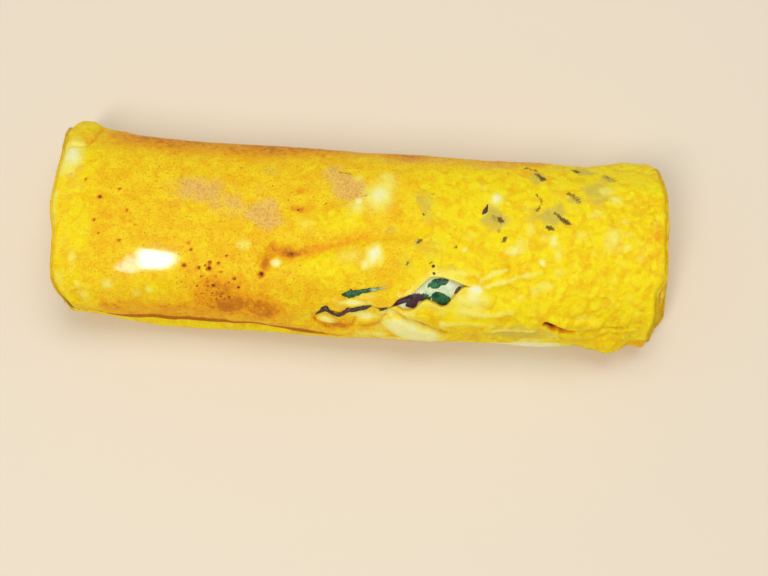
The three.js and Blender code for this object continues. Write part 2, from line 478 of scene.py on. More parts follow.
# Lemon yellow areas, as (centre, half length, half width, slant, strength).
LEMON_AREAS = [
    ((-9, 16), 20, 11, 0, 0.95),
    ((-8, 0.5), 22, 8, 10, 0.95),
    ((-66, 27), 15, 6, 0, 0.85),
]
# The rounded fold under the tear, and the oval at the right end.
FOLD, FOLD_SLANT = (19.5, 39.4), -22
OVAL = (84, 0.6)
# Soft ovals on the skin from left to right, as (x, girth, half length, half width, strength).
PALE_SPOTS = [
    (-104.5, 4, 2.5, 14, 0.55), (-102, 27, 3, 5, 0.4), (-101, -18, 7, 9, 0.95),
    (-96.5, 18.9, 2.6, 2.8, 0.55), (-96.5, 23.5, 1.7, 1.9, 0.5), (-95, 28.4, 2, 2, 0.5),
    (-93, 32.6, 3.6, 4.8, 0.36), (-83.5, 28, 2.8, 3.4, 0.6), (-73.5, 31, 2.6, 2.4, 0.42),
    (-69, 28.4, 1.6, 1.6, 0.6), (-38, 10.6, 3, 3, 0.5), (-27, 16.5, 2.2, 2.4, 0.85),
    (-18, 2.8, 5.5, 3.5, 0.32), (-9.5, 35.4, 5, 2.2, 0.85), (-2.3, -17, 3, 3, 0.5),
    (-2.3, -4.6, 4.2, 3.8, 0.6), (-2, 12, 8, 6, 0.36), (-1.2, -6.6, 2.2, 2.2, 1),
    (-1, 28.2, 8, 1.5, 0.8), (2.5, 14.9, 2.6, 2.4, 0.8), (3, 25.4, 6, 1.7, 0.5), (3, 33, 6, 2.2, 0.75),
    (5, 11.2, 3.2, 4.6, 1), (6, 42.5, 8, 2.4, 0.7), (6.2, -9.6, 7.5, 9.5, 0.8), (10, 38, 6, 5, 0.45),
    (11, 31.5, 6, 3, 0.8), (12, 45, 16, 1.6, 0.7), (17, 30.8, 6, 1.6, 0.55), (20, 33, 8, 2.4, 0.5),
    (29.5, 34.2, 2, 2.4, 0.75), (33, 15.4, 9, 2.2, 0.5), (35, 7.7, 1.3, 1.3, 0.9), (36, 28, 8, 4, 0.6),
    (37, 3, 3, 2.4, 0.35), (38.5, 23.6, 7, 4.6, 0.75), (39.5, 20.2, 4.2, 3, 1),
    (40, -16, 2.2, 2, 0.4), (45.5, -12, 3.9, 4, 1), (50.5, 35.2, 2, 2, 0.4),
    (51.5, 6.9, 3.6, 2.4, 0.72), (54, 4, 3, 4, 0.4), (54, 22.7, 2.2, 1.7, 0.55),
    (56.5, -1.5, 2.2, 4, 0.4), (57, 44.5, 3.5, 2.2, 0.9), (59, 19.8, 2.6, 2.8, 0.5),
    (61, 10.4, 1.4, 1.4, 0.9), (61.5, 1.7, 3.2, 2.8, 0.45), (61.5, 17.9, 3.6, 2.4, 0.6),
    (62, 43, 8, 3, 0.55), (64.5, 2.4, 1.9, 3, 0.85), (66.2, 8.2, 2, 4.2, 0.55),
    (66.5, 13, 2, 1.7, 0.45), (67, 37.5, 3, 2.4, 0.5), (74, 0, 3.4, 2.4, 0.4), (75, 29.2, 5, 2.4, 0.35),
    (77.5, 5.8, 2.2, 2.4, 0.35), (78, -8.1, 3.2, 1.9, 0.5), (81.5, -18.6, 3.8, 3.2, 0.7),
    (84, 0.6, 4.6, 7, 0.6), (85, 16.8, 2.4, 3.2, 0.35), (85.5, -14, 3, 3.4, 0.6),
    (88, -5.9, 2.2, 2, 0.5), (88, 11.3, 2.6, 3, 0.35), (89, 3.6, 2.1, 2.1, 0.62),
    (90, -1.2, 2.2, 2, 0.6), (92, 23.6, 3.6, 3, 0.32), (94, 9.4, 2.6, 2.6, 0.42),
    (100, -6, 2, 2.2, 0.35),
]
BEIGE_SPOTS = [
    (-54, -8.5, 13, 7.5, 1), (-44, -4, 9, 6, 0.7), (-33, -0.4, 7.5, 6.4, 1),
    (-32.5, -8.6, 8, 4.2, 0.35), (-28.5, 1.2, 4, 3.6, 0.8), (-11, -18, 5, 5, 0.8), (-7, -13, 9, 9, 1.5),
    (16, -28, 16, 5, 0.4), (44, -29, 14, 5, 0.35),
]
# Browning spots; the long ones low on the front, at (-62, 37) and (46, 40), are painted shade.
BROWN_AND_SHADE_SPOTS = [
    (-98, -26, 6, 4, 0.6), (-97, 34, 8, 7, 0.3), (-94, -8, 3, 2.4, 0.7), (-88, 6, 8, 7, 0.25),
    (-83, 6, 13, 12, 0.2), (-62, 37, 28, 4.5, 0.5), (-52, 23, 14, 9, 0.48), (-45, 27, 16, 14, 1),
    (-42, 31, 9, 7, 1.15), (-40, 14, 9, 7, 0.4), (-32, 25, 12, 11, 0.55), (-31.5, 20.3, 1.2, 1, 1.6),
    (-31.5, 33.5, 9.5, 6.5, 0.95), (-30.5, 16.7, 1.8, 3.6, 0.6), (-30, 3, 8, 4, 0.35),
    (-28.5, 10.2, 2.2, 2, 0.5), (-22, 12.8, 3.4, 1.3, 0.8), (-20.5, -9.3, 2.2, 2.2, 0.9),
    (-20.5, -2.7, 3.6, 2, 0.9), (-14, 24, 9, 4, 0.3), (-5, 38.6, 6.5, 4.2, 1.3), (5, 37.4, 5, 3, 0.9),
    (13.5, 34.4, 2.2, 1.4, 0.4), (14, -32, 10, 6, 0.4), (30, 0, 14, 3, 0.3), (35, 11.3, 3.2, 2.4, 0.3),
    (43, 25, 2.6, 3.6, 0.33), (46, 40, 26, 4, 0.35), (50, 19.8, 5.5, 2.4, 0.36), (50, 27, 12, 4, 0.3),
    (51, 11.6, 7, 2.4, 0.3), (61.5, 23.3, 3, 1.8, 0.3), (76, 18, 20, 11, 0.35),
    (81, 36, 4, 2, 0.3), (88, 41, 8, 6, 0.5), (88.5, -10.4, 2.4, 2, 0.3), (91, -4.4, 2, 2.4, 0.36),
    (92.5, -0.9, 2, 2, 0.25), (98, 8, 7, 24, 0.26), (99, -9.4, 2.4, 3, 0.3),
]
# Olive tints on the skin; the long ones low on the front, at (50, 39) and (52, 37), are painted shade.
OLIVE_AND_SHADE_SPOTS = [
    (-31, -17, 5.5, 4.5, 0.45), (-5, 30.2, 2.5, 1.2, 0.5), (-4.5, -0.9, 2.6, 1.3, 0.35),
    (1, 28.3, 4.5, 1.3, 0.9), (10, 2.6, 6, 2.2, 0.5), (16, 14, 4, 4, 0.35), (19.5, 6.2, 3.4, 2.6, 0.6),
    (21.5, -6.4, 4.6, 6.5, 0.8), (25, 9, 10, 5, 0.35), (30, 14, 5, 2, 0.5), (42, -7, 4, 4, 0.5),
    (46, -3.6, 5.5, 5, 1.3), (50, 39, 22, 2.6, 0.5), (52, 37, 20, 5, 0.7), (57, -8, 4, 5, 0.4),
    (59, -23, 4.4, 4.4, 0.8), (62.8, -5.8, 6.8, 6.2, 1.3), (66, 33.5, 6, 1.6, 0.5),
    (71, -13.6, 4, 3, 0.8), (75, -28, 4.5, 3.5, 0.8), (77, -18, 8, 6, 0.8), (79, -14.2, 6, 3, 0.6),
    (84, -25, 4.5, 4, 0.8),
]
# Scraps of laver showing through the skin, as (line, half width, strength).
LAVER_SCRAPS = [
    ([(-9, -18.5), (-4, -18.5)], 0.6, 0.55), ([(0.8, -9.4), (1.6, -9.8)], 0.7, 0.6),
    ([(8.4, 30.3), (10.6, 29.4)], 0.6, 0.6), ([(16, 14.1), (17, 13.2)], 0.6, 0.75),
    ([(19.3, 6.4), (20.4, 5.6)], 0.8, 0.8), ([(20, -4.2), (20.8, -3.6)], 0.8, 0.85),
    ([(23, -11.6), (23.2, -11.4)], 0.6, 0.7), ([(23.6, 13), (24.4, 12.6)], 0.6, 0.8),
    ([(30, 2.5), (30.1, 2.5)], 0.5, 0.7), ([(32, 6.8), (32.1, 6.9)], 0.7, 0.95),
    ([(33.5, 3.2), (33.6, 3.2)], 0.5, 0.7), ([(43.8, -4.6), (44.2, -4.2)], 0.8, 0.7),
    ([(46, -4.2), (46.8, -3.4)], 0.9, 1), ([(46, 0), (46.1, 0.1)], 0.7, 0.8),
    ([(46.5, -5.5), (46.6, -5.4)], 0.6, 0.8), ([(47.6, 3.4), (48.5, 2.7)], 0.8, 0.9),
    ([(54.6, -27.6), (58.4, -26.2)], 0.6, 0.8),
    ([(58.2, -14.6), (59.6, -13), (60, -11.2), (59.2, -9.4), (58.2, -8)], 0.62, 0.75),
    ([(58.6, -24), (60.5, -22)], 1.3, 1.1), ([(61.8, -2.2), (64, -1.6)], 0.6, 0.9),
    ([(63, -1.9), (63.3, -1.8)], 1, 1.1), ([(64.4, -7.8), (66.4, -5.8), (69.6, -3.6)], 0.6, 1.1),
    ([(66.8, -5.4), (68.4, -4.4)], 0.95, 1.1), ([(69, -15.7), (70.6, -15)], 0.9, 0.8),
    ([(71, -29), (72.8, -28)], 1, 0.9), ([(71.2, -14), (72.4, -12.4)], 1.3, 0.6),
    ([(82.5, -26.7), (85.5, -24)], 1.5, 0.6),
]
# The largest pits, as (x, girth, radius).
PITS = [
    (-99.5, -10.5, 0.5), (-94, -8.5, 0.5), (-89, 6, 0.5), (-88, -2.5, 0.85), (-87, 10.5, 0.45),
    (-81.5, -5.5, 0.5), (-79.5, 12.5, 0.55), (-78, 2, 0.5), (-74.5, 7, 0.35), (-72.5, 9.5, 0.4),
    (-57.5, 19, 0.8), (-56.5, 11.5, 0.45), (-55.5, 13.5, 0.6), (-54, 17, 0.4), (-53, 26, 0.45),
    (-52.5, 19.5, 0.6), (-51.5, 22.5, 0.4), (-51.5, 29, 0.5), (-50.5, 18.5, 0.4), (-49.5, 24, 0.45),
    (-49, 17.5, 0.6), (-49, 19.5, 0.9), (-48, 28.5, 0.6), (-47.5, 25.5, 0.75), (-46.5, 22, 0.4),
    (-46, 17.5, 0.6), (-45, 20.5, 0.4), (-44.5, 28.5, 0.5), (-43.5, 15, 0.5), (-43.5, 24.5, 0.55),
    (-40.5, 22.5, 0.6), (-39, 25.5, 0.6), (-31.5, 20.3, 1.1), (-21, -2.5, 0.5), (-12, -5.5, 0.4),
]
NEXT_TURN_GIRTH = -107
BUBBLE_SEED = 5
BUBBLE_TRIES = 5200


def bubbles(seed):
    """Bubbles in the skin as (x, girth, radius): crowded at the two ends, few in the middle."""
    rng = np.random.default_rng(seed)
    found = []
    for _ in range(BUBBLE_TRIES):
        x, g = rng.uniform(-103, 104), rng.uniform(-60, 46)
        want = ramp(x, 30, 30) + 0.75 * ramp(x, -72, -14) + 0.10
        want = max(want, 0.6 * float(ramp(g, 26, 8)) * float(x < -55))
        radius = rng.uniform(0.7, 1.3) + (rng.random() < 0.22) * rng.uniform(0.4, 1.3)
        if rng.random() > want:
            continue
        if all(math.hypot(x - a, g - b) > 0.92 * (radius + r) for a, b, r in found):
            found.append((x, g, radius))
    return found


def bubble_domes(x, g):
    """Dome height, 0 to 1, of the bubbles over the skin's grid."""
    domes = np.zeros(x.shape)
    outline = 0.28 * ragged(x, g, 1.7, 2)
    for bubble_x, bubble_g, radius in bubbles(BUBBLE_SEED):
        first, last = np.searchsorted(x[0], (bubble_x - radius * 1.5, bubble_x + radius * 1.5))
        part = (slice(None), slice(first, last))
        d = np.hypot(x[part] - bubble_x, g[part] - bubble_g) / radius + outline[part]
        domes[part] = np.maximum(domes[part], smooth(1.15 * (1 - d)))
    return domes


def relief(x, g, domes):
    """Height of the skin above the plain roll."""
    right = ramp(x, 25, 30)
    calm = 1 - blot(x, g, (-70, 18), 22, 14, 0, 0, 0.5)
    crowded = 0.2 + 0.8 * np.maximum(right, ramp(x, -80, -12))
    fine_relief = 0.14 * ripples(x + 50, g, 2.6, 2) * (1 + 1.6 * right) + 0.5 * domes * crowded
    height = 0.75 * lumps(x, g, 30, 2) + 0.30 * ripples(x, g, 10, 2) * (1 + 0.9 * right)
    height += fine_relief * (1 - 0.65 * ramp(g, -12, -12))
    height *= calm
    for points, width, rise, rag in SWELLINGS:
        height += rise * mark(x, g, points, width, rag)
    for points, width, rise in RIDGES:
        height += rise * mark(x, g, points, width * 1.3, 0.4)
    for points, width, depth, _ in VALLEYS:
        height -= depth * mark(x, g, points, width, 0.3)
    height += 1.7 * blot(x, g, FOLD, 14, 6.0, FOLD_SLANT, 0.15, 0.35)
    height += 0.7 * blot(x, g, OVAL, 3.8, 5.6, 0, 0.1, 0.5)
    for pit_x, pit_g, radius in PITS:
        height -= 0.7 * radius * blot(x, g, (pit_x, pit_g), 1.6 * radius, 1.6 * radius, 0, 0)
    return height


def strongest(x, g, spots, rag):
    """The strongest of a list of soft ovals at each place."""
    result = np.zeros(x.shape)
    for spot_x, spot_g, half_length, half_width, strength in spots:
        near = (np.abs(x - spot_x) < 1.8 * half_length) & (np.abs(g - spot_g) < 1.8 * half_width)
        size = 1.35 * half_length, 1.35 * half_width
        value = strength * blot(x[near], g[near], (spot_x, spot_g), *size, 0, rag)
        result[near] = np.maximum(result[near], value)
    return result


def browning_and_shade_share(x, g, left_end, next_turn):
    """How much browning and painted shade the skin has, in creases, along the free edge and where it curves
    away: 0 golden, 1 full browning, 2 scorched.
    """
    browning_and_shade = 0.10 * ramp(x, 18, -40) + 0.34 * lumps(x + 9, g - 7, 13, 3) - 0.25 * left_end
    for points, width, strength, rag in BROWNING_AND_SHADE_BANDS:
        browning_and_shade += strength * mark(x, g, points, width, rag)
    # Painted shade along the crease.
    browning_and_shade += 0.85 * mark(x, g, CREASE, 3.6, 0.3) * ramp(x, 14, -22)
    browning_and_shade += strongest(x, g, BROWN_AND_SHADE_SPOTS, 0.4)
    browning_and_shade += 0.25 * ramp(np.abs(x), 103, 1.5)
    # Painted shade in the creases and fold lines.
    for points, width, _, crease_shade in VALLEYS:
        browning_and_shade = np.maximum(browning_and_shade, crease_shade * mark(x, g, points, width, 0.4))
    # Painted shadow: a dark line along the free edge where it meets the skin below, on the left.
    from_edge = LIP_GIRTH - lip_rise(x) - g
    seam_shadow = smooth(1 - np.abs(from_edge - 0.3) / 1.5) * ramp(x, 5, -20)
    browning_and_shade = np.maximum(browning_and_shade, 1.4 * seam_shadow)
    # Painted shade low on the front, just above the free edge, on the left.
    browning_and_shade += 0.35 * smooth(1 - from_edge / 7) * ramp(x, -6, -10) * (1 - left_end)
    browning_and_shade = browning_and_shade * (1 - next_turn) + next_turn * (0.08 + 0.5 * ramp(x, 72, 8))
    for pit_x, pit_g, radius in PITS:
        hollow = blot(x, g, (pit_x, pit_g), 1.9 * radius, 1.7 * radius, 0, 0.2)
        browning_and_shade = np.maximum(browning_and_shade, 2.4 * hollow)
    return browning_and_shade


def lemon_share(x, g, left_end, next_turn):
    """How lemon yellow the skin is, instead of golden."""
    lemon = ramp(x, -4, 42) * (1 - 0.6 * ramp(g, -18, -8) * ramp(x, 70, -12))
    for centre, half_length, half_width, slant, strength in LEMON_AREAS:
        area = blot(x, g, centre, half_length, half_width, slant, 0.3)
        lemon = np.maximum(lemon, strength * area)
    return np.maximum.reduce([lemon, 0.55 * left_end, 0.8 * next_turn])


def pale_share(x, g, domes, left_end, next_turn):
    """How pale the skin is, up to cream."""
    right_end = ramp(x, 40, 25)
    blotches = ramp(ragged(x, g, 5.0, 3), 0.02, 0.4)
    strip = next_turn * ramp(x, 32, 18) * ramp(x, 80, -14) * ramp(g, -150, 30)
    ridges = [0.62 * mark(x, g, points, width, 0.5) for points, width, _ in RIDGES]
    return np.maximum.reduce([
        strongest(x, g, PALE_SPOTS, 0.4),
        1.15 * strip * (0.75 + 0.35 * blotches),
        0.18 * blotches * np.maximum(right_end, left_end),
        (0.08 + 0.08 * right_end + 0.2 * left_end) * domes,
        0.78 * blot(x, g, FOLD, 15.5, 6.4, FOLD_SLANT, 0.2, 0.5),
        0.5 * near_tear(x, turns_of(g), 8) * ramp(x, 12, 10),
        *ridges,
    ])


def laver_share(x, g):
    """How much of the laver shows through the skin."""
    return np.maximum.reduce([
        amount * mark(x, g, points, width * 1.5, 0.45) for points, width, amount in LAVER_SCRAPS
    ])


def pit_share(x, g):
    """How many of the smallest pits the skin has."""
    left = ramp(x, 18, -40) * ramp(x, -100, 12) * ramp(g, -30, 12)
    return 0.7 * left + 0.3 * blot(x, g, (-44, 27), 20, 15, 0, 0.4)


def wet_share(x, g):
    """How wet the skin is: oily at the left, moist round the tear and a little at the right."""
    return np.clip(np.maximum.reduce([
        1.6 * blot(x, g, (-66.6, 17.0), 13, 7.0, 23, 0.2),
        0.62 * blot(x, g, (-74.5, 20.6), 9, 5.6, 24, 0.5, 0.4),
        0.45 * near_tear(x, turns_of(g), 9),
        0.08 * ramp(x, 30, 30),
    ]), 0, 1)


def tones(x, g, domes):
    """The skin's colouring: its marks for each place."""
    left_end = ramp(x, -84, -10)
    next_turn = ramp(g, NEXT_TURN_GIRTH, -5)
    return marks_of(x.shape, {
        BROWNING_AND_SHADE: browning_and_shade_share(x, g, left_end, next_turn),
        LEMON: lemon_share(x, g, left_end, next_turn),
        PALE: pale_share(x, g, domes, left_end, next_turn),
        BEIGE: strongest(x, g, BEIGE_SPOTS, 0.5),
        LAVER: laver_share(x, g),
        PITTED: pit_share(x, g),
        OLIVE_AND_SHADE: strongest(x, g, OLIVE_AND_SHADE_SPOTS, 0.5),
        WET: wet_share(x, g),
    })


def inner_marks(points, amount=1.0):
    return marks_of(points.shape[:-1], {INNER: amount})


# ---------------- the egg roll
LIP_SWELL, LIP_SWELL_REACH = 0.7, 4.0
CALM_END = 5.0
BACK_GIRTH = -36.0
WALL_FINE_TO = 8.0
EDGE_ACROSS = np.array([0.86, 0.62, 0.38, 0.15])
EDGE_ROUNDING = 0.0042
TORN_FACE_INSET = 0.35

# Turns of the rows from the free edge: the skin's and the inner side's, in front of the tear and behind it,
# and those of the turns inside.
skin_front = turns_of(spread(LIP_GIRTH, TEAR_ROW, 0.6))
skin_over = np.concatenate([
    turns_of(spread(TEAR_ROW, BACK_GIRTH, 0.62)),
    np.linspace(float(turns_of(BACK_GIRTH)), SKIN_END, 64)[1:],
])
wall_front = turns_of(spread(LIP_GIRTH, TEAR_ROW, 1.6))
wall_over = np.concatenate([
    turns_of(spread(TEAR_ROW, WALL_FINE_TO, 1.8)),
    np.linspace(float(turns_of(WALL_FINE_TO)), LAVER_TURNS, 110)[1:],
])
inner_turns = np.concatenate([
    np.linspace(SKIN_END, CORE_START, 62)[1:],
    np.linspace(CORE_START, CORE_END, 44)[1:],
])
edge_turns = np.linspace(-0.02, -0.005, len(EDGE_ACROSS))
outer_turns = np.concatenate([edge_turns, skin_front, skin_over[1:], inner_turns])
wall_turns = np.concatenate([wall_front, wall_over[1:]])


def raised(points, height):
    """Moves a grid of points out along its own normals."""
    normal = np.cross(np.gradient(points, axis=1), np.gradient(points, axis=0))
    normal /= np.linalg.norm(normal, axis=-1, keepdims=True) + 1e-9
    out = points + normal * height[..., None]
    out[..., 2] = np.maximum(out[..., 2], 0)
    return out


def block_rows(columns, turns, tear_row, side):
    """Shares, turns and x of a block of rows, and its real turns, with tear_row on that lip of the tear."""
    shares, rows = np.broadcast_arrays(columns, turns[:, None])
    x = shares * LENGTH / 2
    real = warped_turns(x, rows)
    real[tear_row] = warped_turns(x[tear_row], rows[tear_row], side)
    return shares, rows, x, real


def skin_block(turns, tear_row, side):
    """A block of the skin's rows."""
    shares, rows, x, real = block_rows(fine, turns, tear_row, side)
    plain = placed(shares, real, sheet_depth(real) + rim(shares, SKIN_RIM) + bevel(x, rows))
    g = girth_of(real)
    domes = bubble_domes(x, g)
    from_end = (1 - np.abs(shares)) * LENGTH / 2
    outside = ramp(real, 1.0, -0.06)
    height = relief(x, g, domes) * outside + LIP_SWELL * near_tear(x, real, LIP_SWELL_REACH)
    return raised(plain, height * smooth(from_end / CALM_END)), tones(x, g, domes)


def wall_block(turns, tear_row, side):
    """A block of the sheet's inner side, where the laver lies against it."""
    shares, _, x, real = block_rows(coarse, turns, tear_row, side)
    points = placed(shares, real, sheet_depth(real) + sheet_left(x, real) - rim(shares, INNER_RIM))
    return points, inner_marks(points)


def inner_block():
    """The turns inside and the core, from where the skin ends."""
    shares, rows = np.broadcast_arrays(coarse, inner_turns[:, None])
    points = placed(shares, rows, sheet_depth(rows) + rim(shares, INNER_RIM))
    return points, inner_marks(points)


def edge_block():
    """The free edge's rounded rim, from the sheet's inner side to its skin."""
    shares, across = np.broadcast_arrays(fine, EDGE_ACROSS[:, None])
    x = shares * LENGTH / 2
    turns = warped_turns(x, np.zeros(x.shape))
    top = bevel(x, x * 0) + rim(shares, SKIN_RIM)
    bottom = sheet_thickness(turns) - rim(shares, INNER_RIM)
    depth = sheet_depth(turns) + top + (bottom - top) * across
    points = placed(shares, turns - EDGE_ROUNDING * np.sin(np.pi * across), depth)
    return points, tones(x, girth_of(turns), np.zeros(x.shape))


def split_at_tear(pieces, block, x, low_turns, high_turns, flip=False):
    """Adds the rows in front of the tear and behind it, joined outside it. Returns both grids of ids."""
    low = pieces.add(*block(low_turns, -1, 1))
    high = pieces.add(*block(high_turns, 0, -1))
    joined = (x <= tear_x[0] + 0.01) | (x >= tear_x[-1] - 0.01)
    high[0, joined] = low[-1, joined]
    pieces.quads(low, flip)
    pieces.quads(high, flip)
    return low, high


def tear_walls(pieces, skin_low, skin_high, wall_low, wall_high):
    """The torn faces, from the skin's lips down to the sheet's inner side."""
    use = (x_fine >= tear_x[0] - 0.01) & (x_fine <= tear_x[-1] + 0.01)
    use_coarse = (x_coarse >= tear_x[0] - 0.01) & (x_coarse <= tear_x[-1] + 0.01)
    x, share = x_fine[use], fine[use]
    mids = []
    for side in (1, -1):
        real = warped_turns(x, np.full(x.shape, TEAR_TURN), side)
        inward = -side * np.minimum(TORN_FACE_INSET, tear_half_width(x) * 0.4)
        turned = turns_of(girth_of(real) + inward)
        points = placed(share, turned, sheet_depth(turned) + 0.4 * sheet_left(x, real) - 0.3)
        mids.append(pieces.add(points, inner_marks(points, 0.8)))
    mids[1][[0, -1]] = mids[0][[0, -1]]
    for top, mid, bottom in ((skin_low, mids[0], wall_low), (skin_high, mids[1], wall_high)):
        pieces.zip(top[use], x, mid, x)
        pieces.zip(mid, x, bottom[use_coarse], x_coarse[use_coarse])


def cap_ring(pieces, turns, across, end):
    """A line of points on the end face, some way across the sheet's thickness, bulging outwards."""
    share = np.full(turns.shape, end)
    real = warped_turns(share * LENGTH / 2, np.maximum(turns, 0))
    points = placed(share, real, sheet_depth(real) + across * sheet_thickness(real))
    points[:, 0] += end * (0.8 + 0.5 * ragged(real * 60, real * 0 + 30 * across, 5, 2))
    return pieces.add(points, marks_of(turns.shape, {INNER: 0.55, BROWNING_AND_SHADE: 0.25}))


def end_cap(pieces, outer, wall, end):
    """Closes one end: the sheet's edge wound inwards, then the core."""
    sheet = outer_turns <= CORE_START + 1e-9
    first = cap_ring(pieces, outer_turns[sheet], 0.3, end)
    second = cap_ring(pieces, wall_turns, 0.7, end)
    pieces.zip(outer[sheet], outer_turns[sheet], first, outer_turns[sheet])
    pieces.zip(first, outer_turns[sheet], second, wall_turns)
    pieces.zip(second, wall_turns, wall, wall_turns)
    pieces.faces.append([outer[0], first[0], second[0], wall[0]])
    core = outer[outer_turns >= CORE_START - 1e-9]
    core_cap(pieces, np.concatenate([core, [wall[-1], second[-1], first[-1]]]), end)


def core_cap(pieces, loop, end):
    """Closes the core's end with a ring half way in and a point in the middle."""
    border = np.concatenate(pieces.points)[loop]
    centre = border.mean(0)
    ring = centre + (border - centre) * 0.5 + [end * 0.6, 0, 0]
    ring_ids = pieces.add(ring, inner_marks(ring, 0.6))
    peak = centre[None] + [end * 0.5, 0, 0]
    peak_id = pieces.add(peak, inner_marks(peak, 0.6))[0]
    for k in range(len(loop)):
        n = (k + 1) % len(loop)
        pieces.faces.append([loop[k], loop[n], ring_ids[n], ring_ids[k]])
        pieces.faces.append([ring_ids[k], ring_ids[n], peak_id])


def finished(pieces, name):
    """Builds the piece, drops unused points, and turns every face outwards."""
    piece = pieces.build(name)
    mesh = bmesh.new()
    mesh.from_mesh(piece.data)
    loose = [v for v in mesh.verts if not v.link_faces]
    bmesh.ops.delete(mesh, geom=loose, context="VERTS")
    bmesh.ops.recalc_face_normals(mesh, faces=mesh.faces)
    mesh.to_mesh(piece.data)
    mesh.free()
    return piece


def egg():
    """The whole egg as one closed mesh."""
    pieces = Pieces()
    skin_low, skin_high = split_at_tear(pieces, skin_block, x_fine, skin_front, skin_over)
    wall_low, wall_high = split_at_tear(pieces, wall_block, x_coarse, wall_front, wall_over, flip=True)
    inner = pieces.add(*inner_block())
    pieces.quads(inner)
    pieces.zip(skin_high[-1], x_fine, inner[0], x_coarse)
    pieces.zip(inner[-1], x_coarse, wall_high[-1], x_coarse)
    edge = pieces.add(*edge_block())
    pieces.quads(np.concatenate([edge, skin_low[:1]]))
    pieces.zip(wall_low[0], x_coarse, edge[0], x_fine)
    tear_walls(pieces, skin_low[-1], skin_high[0], wall_low[-1], wall_high[0])
    outer = np.concatenate([edge, skin_low, skin_high[1:]])
    wall = np.concatenate([wall_low, wall_high[1:]])
    for column, end in ((0, -1.0), (-1, 1.0)):
        end_cap(pieces, np.concatenate([outer[:, column], inner[:, column]]), wall[:, column], end)
    return finished(pieces, "egg")


# ---------------- the laver
FILM_SHARPNESS = 6
FLAKE_THICKNESS = 0.3
FLAKE_LIFT = 0.15


def laver_marks(x, g, near):
    """The laver's colouring: green leaf, dark purple, and a pale film over what lies open between."""
    green = ramp(x, 22.2, 0.8) * ramp(x, 40, -4)
    dark = np.maximum.reduce([
        blot(x, g, (27, 19.7), 4.4, 2.1, 24, 0.3, 0.6),
        blot(x, g, (28.6, 25), 4.8, 3.0, -14, 0.3, 0.6),
        blot(x, g, (18.8, 27.6), 3.2, 2.8, 0, 0.3, 0.5),
        mark(x, g, [(12, 28.2), (14.5, 27.2), (18, 25.8), (23.5, 25.1)], 1.7, 0.3, 0.6),
        smooth(11 - x),
    ])
    film = (1 - dark) * smooth(near * FILM_SHARPNESS)
    white = blot(x, g, (30.7, 20.2), 2.4, 2.2, 0, 0.3)
    return marks_of(x.shape, {GREEN: green, FILM: film, WHITE: white})


def laver_grid(turns, shares, under):
    """One side of the sheet of laver: the upper one, or the one under it."""
    wide, rows = np.broadcast_arrays(shares, turns[:, None])
    x = wide * LENGTH / 2
    real = warped_turns(x, rows, open_tear=False)
    g = girth_of(np.minimum(real, 1))
    crumple = (0.25 + 0.45 * ripples(x, g, 3.5, 3)) * near_tear(x, real, 1.2)
    depth = sheet_depth(real) + sheet_left(x, real) + CLEARANCE - crumple
    if under:
        depth = depth + LAVER_THICKNESS
    return placed(wide, real, depth), laver_marks(x, g, near_tear(x, real))


# Scraps of laver lying on the skin: (line of (x, girth, half width), green, faded, film, lift).
FLAKES = [
    ([(-4.6, 25.4, 0.15), (-3.2, 25.3, 1.1), (-1.6, 25.1, 1.4), (0, 24.9, 1), (2, 24.1, 0.75),
      (4, 23.5, 0.6), (7, 22.8, 0.45), (10.3, 22.1, 0.15)], 1, 0, 0.5, 0.1),
    ([(-13.2, 34.2, 0.1), (-11.6, 32.6, 0.45), (-9.8, 30.6, 0.95), (-8.4, 31.6, 0.6),
      (-6.8, 32.9, 0.45), (-5, 33.4, 0.8), (-3.8, 32.4, 0.6), (-2.3, 30.6, 0.7), (-0.6, 30.9, 0.45),
      (1, 30.1, 0.65), (3.2, 29.6, 0.75), (5.4, 28.6, 0.15)], 0, 0.25, 0, 0.25),
    ([(32.6, 21.8, 0.15), (33.2, 21, 0.4), (33.9, 20, 0.55), (34.6, 19.4, 0.15)], 0.1, 0.3, 0, 0.2),
    ([(24.5, 13.9, 0.15), (25, 13.9, 0.6), (25.6, 13.7, 0.2)], 0, 0.3, 0, 0),
    ([(25, 15.9, 0.15), (25.4, 16.1, 0.4), (25.9, 16.3, 0.15)], 0, 0.5, 0, 0),
    ([(8.3, 30.4, 0.1), (9.4, 29.9, 0.4), (10.7, 29.4, 0.1)], 0, 0.5, 0, -0.05),
    ([(41.9, -9.2, 0.15), (41.7, -8, 0.5), (41.2, -6.8, 0.75), (40.2, -5.4, 0.15)], 0, 0.4, 0, -0.1),
]


def on_skin(x, g, height):
    """Points at a height above the skin."""
    shares, turns = x / (LENGTH / 2), turns_of(g)
    swell = LIP_SWELL * near_tear(x, turns, LIP_SWELL_REACH)
    return placed(shares, turns, sheet_depth(turns) - relief(x, g, np.zeros(x.shape)) - swell - height)


def eased(values, passes=2):
    """Rounds the corners of a line, keeping its ends."""
    for _ in range(passes):
        inner = (values[:-2] + 2 * values[1:-1] + values[2:]) / 4
        values = np.concatenate([values[:1], inner, values[-1:]])
    return values


